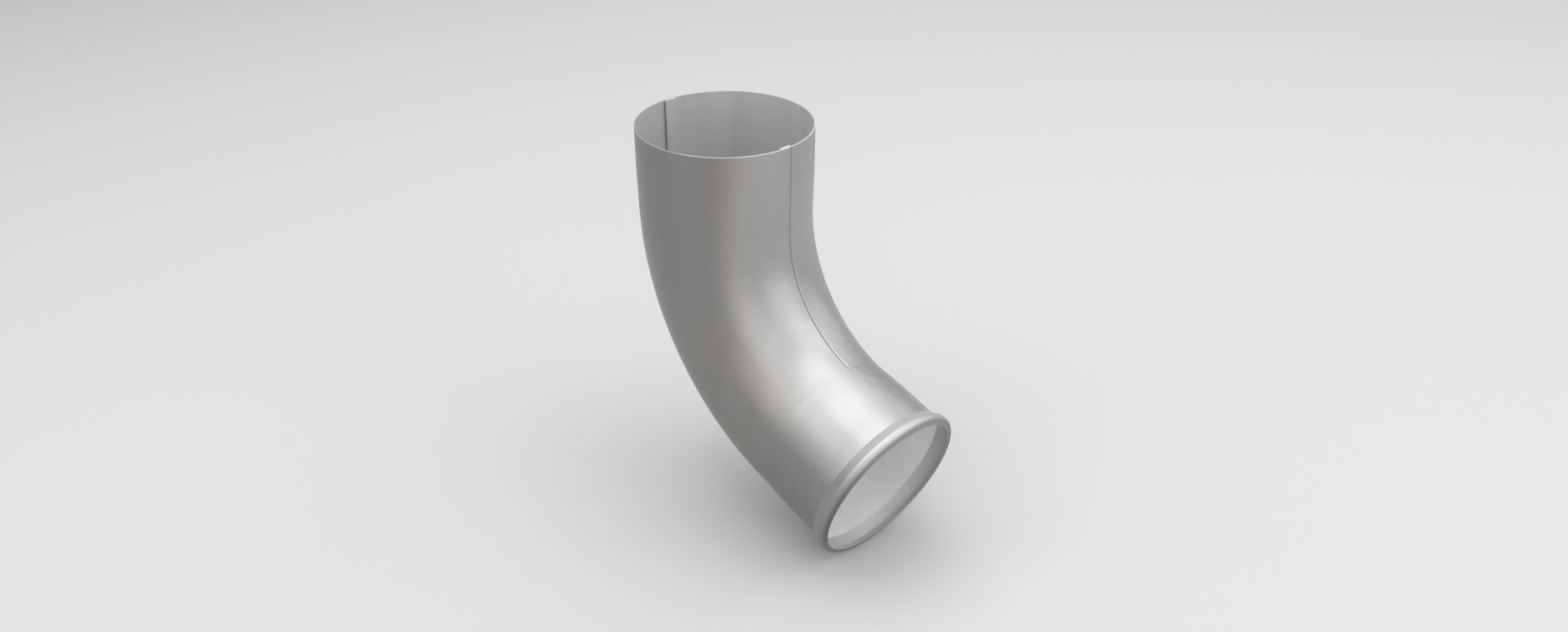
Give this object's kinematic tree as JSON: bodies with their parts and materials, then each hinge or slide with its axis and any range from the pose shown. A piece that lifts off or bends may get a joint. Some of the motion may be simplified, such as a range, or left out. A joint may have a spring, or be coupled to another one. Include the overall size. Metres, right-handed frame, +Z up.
{
  "type": "downspout shoe",
  "caption": "Round sheet-metal rainwater outlet bend with internal lock seams and a rolled bead, which throws downpipe water clear of the wall.",
  "frame": {"origin": "centre of the mouth, in the plane of its rim", "axes": "+Z up along the mouth's axis, +X the way the outlet throws the water, the bend in the XZ plane"},
  "size_m": [0.2018, 0.1016, 0.2263],
  "materials": {
    "galvanised_steel": "smooth satin zinc coating"
  },
  "bodies": {
    "root": {"hooked_half_shell": "galvanised_steel", "joggled_half_shell": "galvanised_steel"}
  },
  "joints": []
}
